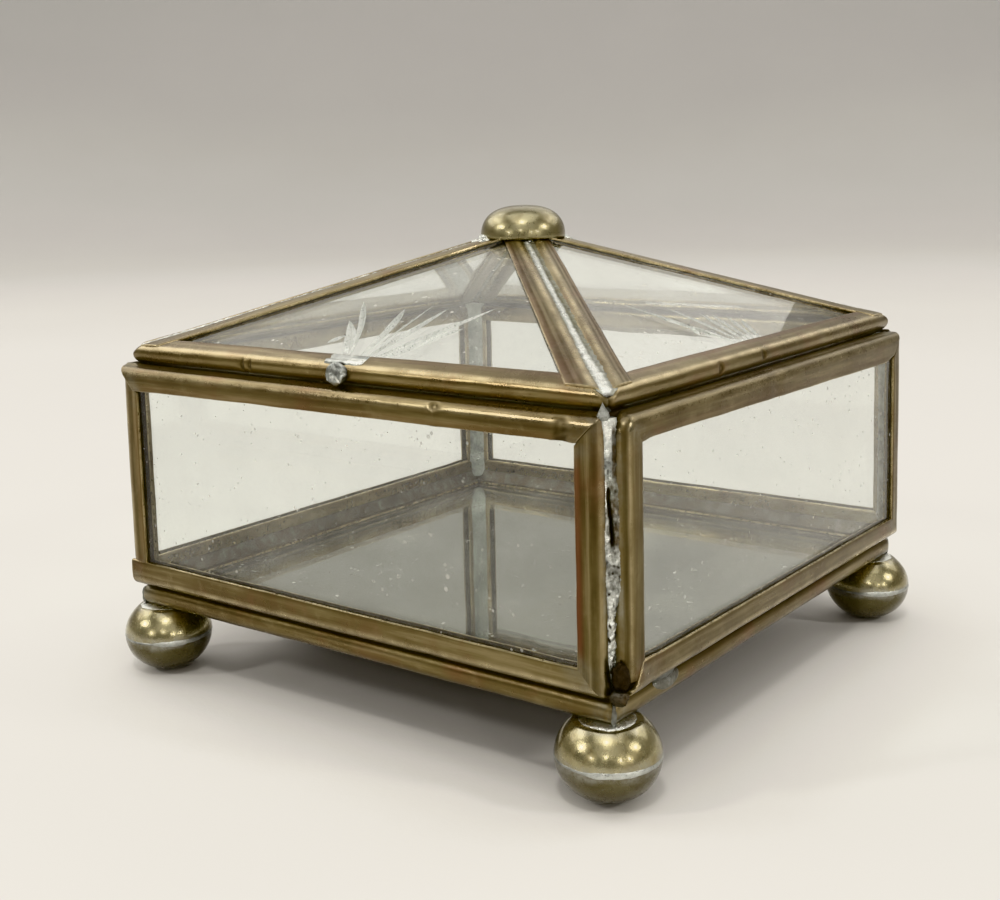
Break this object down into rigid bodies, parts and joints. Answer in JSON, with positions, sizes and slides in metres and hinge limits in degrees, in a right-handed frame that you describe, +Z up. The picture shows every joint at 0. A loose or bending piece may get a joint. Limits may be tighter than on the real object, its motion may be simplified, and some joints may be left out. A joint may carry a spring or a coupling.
{
  "type": "glass casket box",
  "caption": "Square glass casket on ball feet, brass-edged panes soldered at the corners, with a mirrored base and a hinged hipped lid under a domed finial.",
  "frame": {"origin": "centre of the four feet, on the surface the casket stands on", "axes": "+Z up; -Y the front, where the lid opens; +Y the hinge side; +X the casket's right seen from behind the lid's hinge, left to right seen from the front"},
  "size_m": [0.0838, 0.0841, 0.0623],
  "materials": {
    "aged_brass": "satin, aged brown-olive with brighter rubbed edges",
    "polished_brass": "polished, lightly tarnished",
    "solder": "grey tin-lead solder, uneven, satin",
    "clear_glass": "clear, 2 mm, wheel-cut sprays on two lid panes",
    "mirror_glass": "mirror, dusty and lightly scratched",
    "silvering": "dark protective paint over the silvering",
    "steel_pin": "dull wire"
  },
  "bodies": {
    "casket": {"front_came": "aged_brass", "right_came": "aged_brass", "back_came": "aged_brass", "left_came": "aged_brass", "front_glass": "clear_glass", "right_glass": "clear_glass", "back_glass": "clear_glass", "left_glass": "clear_glass", "base_came": "aged_brass", "base_mirror": "mirror_glass", "mirror_silvering": "silvering", "base_solder_seam": "solder", "corner_solder_front_right": "solder", "corner_solder_back_right": "solder", "corner_solder_back_left": "solder", "corner_solder_front_left": "solder", "foot_front_right_upper": "polished_brass", "foot_front_right_lower": "polished_brass", "foot_back_right_upper": "polished_brass", "foot_back_right_lower": "polished_brass", "foot_back_left_upper": "polished_brass", "foot_back_left_lower": "polished_brass", "foot_front_left_upper": "polished_brass", "foot_front_left_lower": "polished_brass", "foot_equator_solder": "solder", "foot_collar_solder": "solder", "hinge_body_leaf": "aged_brass", "hinge_pin": "steel_pin"},
    "lid": {"lid_front_came": "aged_brass", "lid_right_came": "aged_brass", "lid_back_came": "aged_brass", "lid_left_came": "aged_brass", "lid_front_glass": "clear_glass", "lid_right_glass": "clear_glass", "lid_back_glass": "clear_glass", "lid_left_glass": "clear_glass", "hip_solder_front_right": "solder", "hip_solder_back_right": "solder", "hip_solder_back_left": "solder", "hip_solder_front_left": "solder", "finial_cap": "polished_brass", "finial_solder": "solder", "knob_solder_scar": "solder", "hinge_lid_leaf": "aged_brass"}
  },
  "joints": [
    {"name": "lid_hinge", "type": "hinge", "parent": "casket", "child": "lid", "pos_m": [0, 0.04115, 0.0422], "axis": [-1, 0, 0], "range_deg": [0, 105]}
  ]
}
